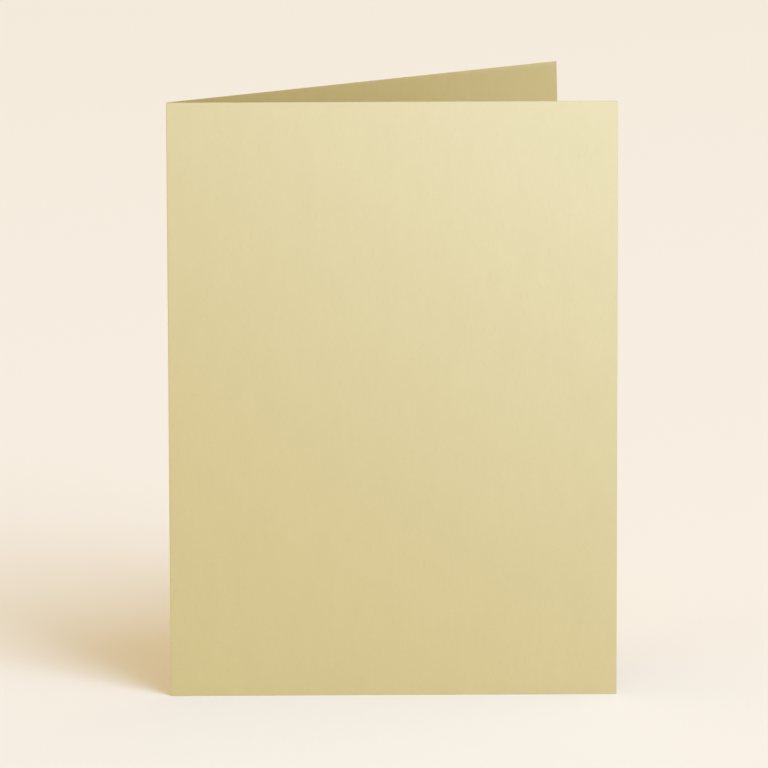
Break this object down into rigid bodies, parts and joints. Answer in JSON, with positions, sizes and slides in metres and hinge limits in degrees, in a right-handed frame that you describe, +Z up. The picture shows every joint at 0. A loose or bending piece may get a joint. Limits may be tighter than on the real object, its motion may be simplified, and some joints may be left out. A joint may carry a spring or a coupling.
{
  "type": "greeting card",
  "caption": "Blank folded card of plain stiff stock that stands upright, partly open, on the lower edges of its front and back panels.",
  "frame": {"origin": "on the surface that the card stands on, under the middle of the card's box", "axes": "+Z up along the fold, +X from the fold towards the free edge of the front panel, and the front panel faces -Y"},
  "size_m": [0.1313, 0.0638, 0.1778],
  "materials": {
    "card_stock": "matte"
  },
  "bodies": {
    "root": {"folded_card": "card_stock"}
  },
  "joints": []
}
